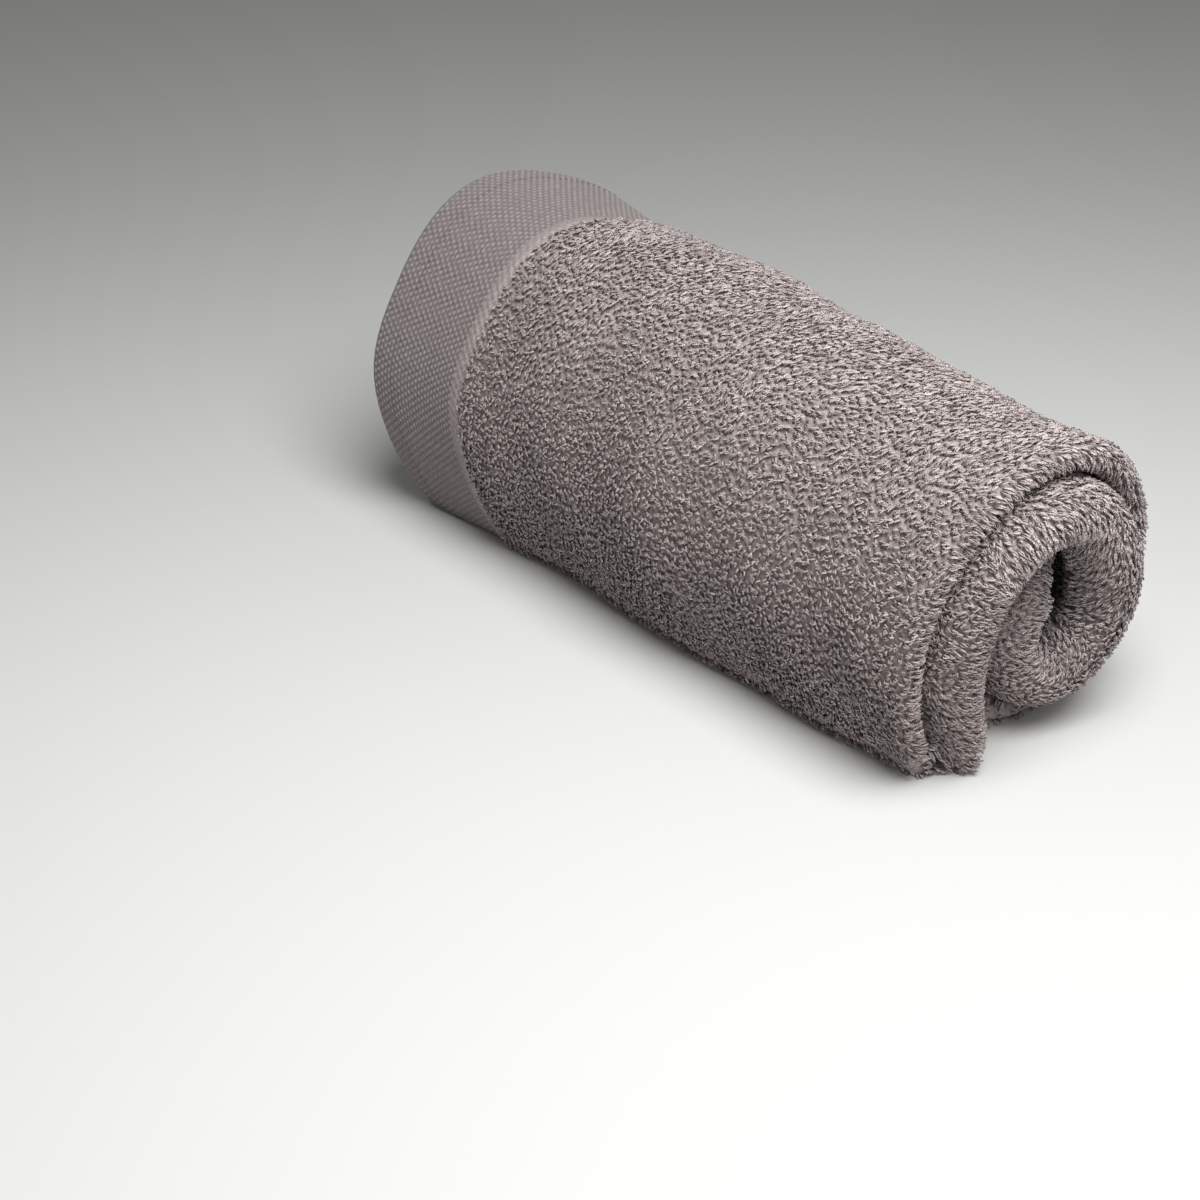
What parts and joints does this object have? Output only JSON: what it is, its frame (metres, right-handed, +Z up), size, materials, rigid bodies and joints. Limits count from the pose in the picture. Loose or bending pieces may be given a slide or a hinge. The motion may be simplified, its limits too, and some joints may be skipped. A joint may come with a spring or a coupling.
{
  "type": "rolled bath towel",
  "caption": "Thick terry bath towel folded lengthways and wound into a loose roll, with looped folds at one end and woven borders and hems at the other.",
  "frame": {"origin": "under the middle of the roll's box, on the surface it lies on", "axes": "+X along the roll towards its looped folds, +Y towards the side away from the cloth's outer edge on the floor, +Z up"},
  "size_m": [0.36, 0.1702, 0.1637],
  "materials": {
    "terry_cotton": "looped terry pile with a flat woven border beside the hems"
  },
  "bodies": {
    "root": {"rolled_towel": "terry_cotton"}
  },
  "joints": []
}
